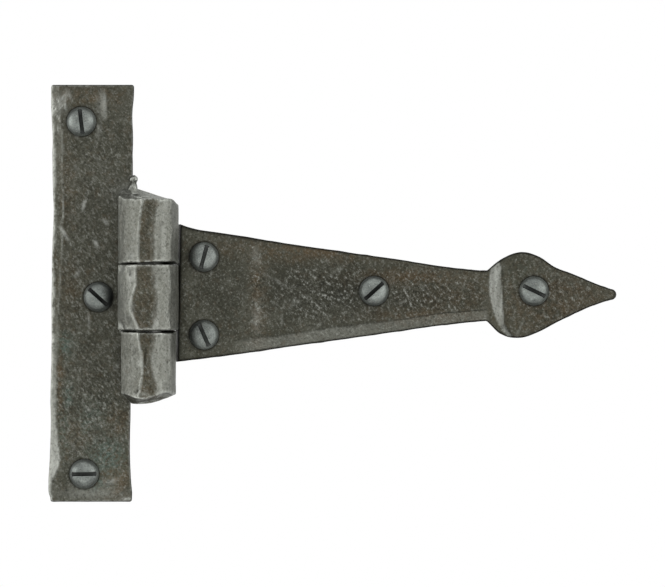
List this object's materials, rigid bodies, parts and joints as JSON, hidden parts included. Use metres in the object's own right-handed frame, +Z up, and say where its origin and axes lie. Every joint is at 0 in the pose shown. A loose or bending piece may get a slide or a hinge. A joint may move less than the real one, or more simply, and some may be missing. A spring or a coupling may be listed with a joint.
{
  "type": "tee hinge",
  "caption": "Forged arrow-head tee hinge: a tapered strap swings on a pin held in the rolled knuckles of a narrow fixed leaf, with round-head wood screws in its holes.",
  "frame": {"origin": "centre of the fixed leaf's back face", "axes": "+X along the strap towards the arrow head, +Y out of the back face into the timber, +Z up along the fixed leaf and the pin"},
  "size_m": [0.185, 0.0468, 0.1354],
  "materials": {
    "forged_steel": "hammered forged steel with a dark waxed patina, bright on worn edges",
    "pin_steel": "dark oiled round bar",
    "screw_steel": "dark steel with a worn, slightly blue-grey head"
  },
  "bodies": {
    "fixed_leaf": {"flange_plate": "forged_steel", "hinge_pin": "pin_steel", "plate_screws": "screw_steel"},
    "swinging_strap": {"strap_arm": "forged_steel", "strap_screws": "screw_steel"}
  },
  "joints": [
    {"name": "strap_swing", "type": "hinge", "parent": "fixed_leaf", "child": "swinging_strap", "pos_m": [0.0185, -0.00955, 0], "axis": [0, 0, -1], "range_deg": [0, 180]}
  ]
}
